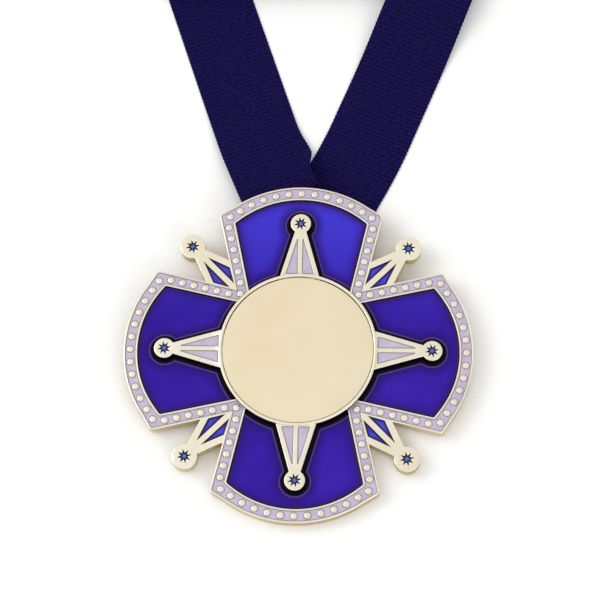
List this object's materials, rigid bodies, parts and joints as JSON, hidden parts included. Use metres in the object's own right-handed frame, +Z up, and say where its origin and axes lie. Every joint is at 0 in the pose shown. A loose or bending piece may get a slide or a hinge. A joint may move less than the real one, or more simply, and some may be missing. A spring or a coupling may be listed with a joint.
{
  "type": "enamelled cross medal on a neck ribbon",
  "caption": "Cross-shaped metal medal with enamelled fan arms, ball-tipped rays and a blank round centre, hung by a hinged wire loop on a folded navy neck ribbon.",
  "frame": {"origin": "on the table, under the centre of the whole object's box (medal and folded ribbon)", "axes": "+Z up, out of the medal's face apart from its 2.2 degree lean; +Y from the medal towards the folded ribbon; +X to the right seen from above"},
  "size_m": [0.1054, 0.1946, 0.0089],
  "materials": {
    "gold_plate": "bright pale gold plate on a zinc casting",
    "disc_gold": "fine matt pale gold, blank",
    "blue_enamel": "translucent royal blue soft enamel, glossy, darker where it creeps up the walls",
    "bright_blue_enamel": "thin bright blue enamel, glossy",
    "lilac_enamel": "pale lilac opaque enamel, glossy",
    "ribbon_navy": "navy grosgrain, fine ribs across the ribbon"
  },
  "bodies": {
    "medal": {"base_cross": "gold_plate", "arm_enamel_top": "blue_enamel", "arm_enamel_left": "blue_enamel", "arm_enamel_bottom": "blue_enamel", "arm_enamel_right": "blue_enamel", "border_enamel": "lilac_enamel", "ray_enamel_upper_left_a": "bright_blue_enamel", "ray_enamel_upper_left_b": "bright_blue_enamel", "tip_enamel_upper_left": "bright_blue_enamel", "ray_enamel_lower_left_a": "bright_blue_enamel", "ray_enamel_lower_left_b": "bright_blue_enamel", "tip_enamel_lower_left": "bright_blue_enamel", "ray_enamel_lower_right_a": "bright_blue_enamel", "ray_enamel_lower_right_b": "bright_blue_enamel", "tip_enamel_lower_right": "bright_blue_enamel", "ray_enamel_upper_right_a": "bright_blue_enamel", "ray_enamel_upper_right_b": "bright_blue_enamel", "tip_enamel_upper_right": "bright_blue_enamel", "star_overlay": "gold_plate", "raised_ray_enamel_top_a": "lilac_enamel", "raised_ray_enamel_top_b": "lilac_enamel", "tip_enamel_top": "bright_blue_enamel", "raised_ray_enamel_left_a": "lilac_enamel", "raised_ray_enamel_left_b": "lilac_enamel", "tip_enamel_left": "bright_blue_enamel", "raised_ray_enamel_bottom_a": "lilac_enamel", "raised_ray_enamel_bottom_b": "lilac_enamel", "tip_enamel_bottom": "bright_blue_enamel", "raised_ray_enamel_right_a": "lilac_enamel", "raised_ray_enamel_right_b": "lilac_enamel", "tip_enamel_right": "bright_blue_enamel", "centre_disc": "disc_gold", "overlay_rivet_1": "gold_plate", "overlay_rivet_2": "gold_plate", "overlay_rivet_3": "gold_plate", "overlay_rivet_4": "gold_plate", "loop_tube": "gold_plate"},
    "ribbon_loop": {"ribbon_loop": "gold_plate"},
    "ribbon": {"ribbon_turn": "ribbon_navy", "ribbon_strap_left": "ribbon_navy", "ribbon_strap_right": "ribbon_navy", "ribbon_folds": "ribbon_navy"}
  },
  "joints": [
    {"name": "loop_swing", "type": "hinge", "parent": "medal", "child": "ribbon_loop", "pos_m": [-0.00187, -0.01979, 0.00157], "axis": [-1, 0, 0], "range_deg": [0, 95]},
    {"name": "ribbon_swing", "type": "hinge", "parent": "ribbon_loop", "child": "ribbon", "pos_m": [-0.00187, -0.01328, 0.00157], "axis": [-1, 0, 0], "range_deg": [0, 85]}
  ]
}
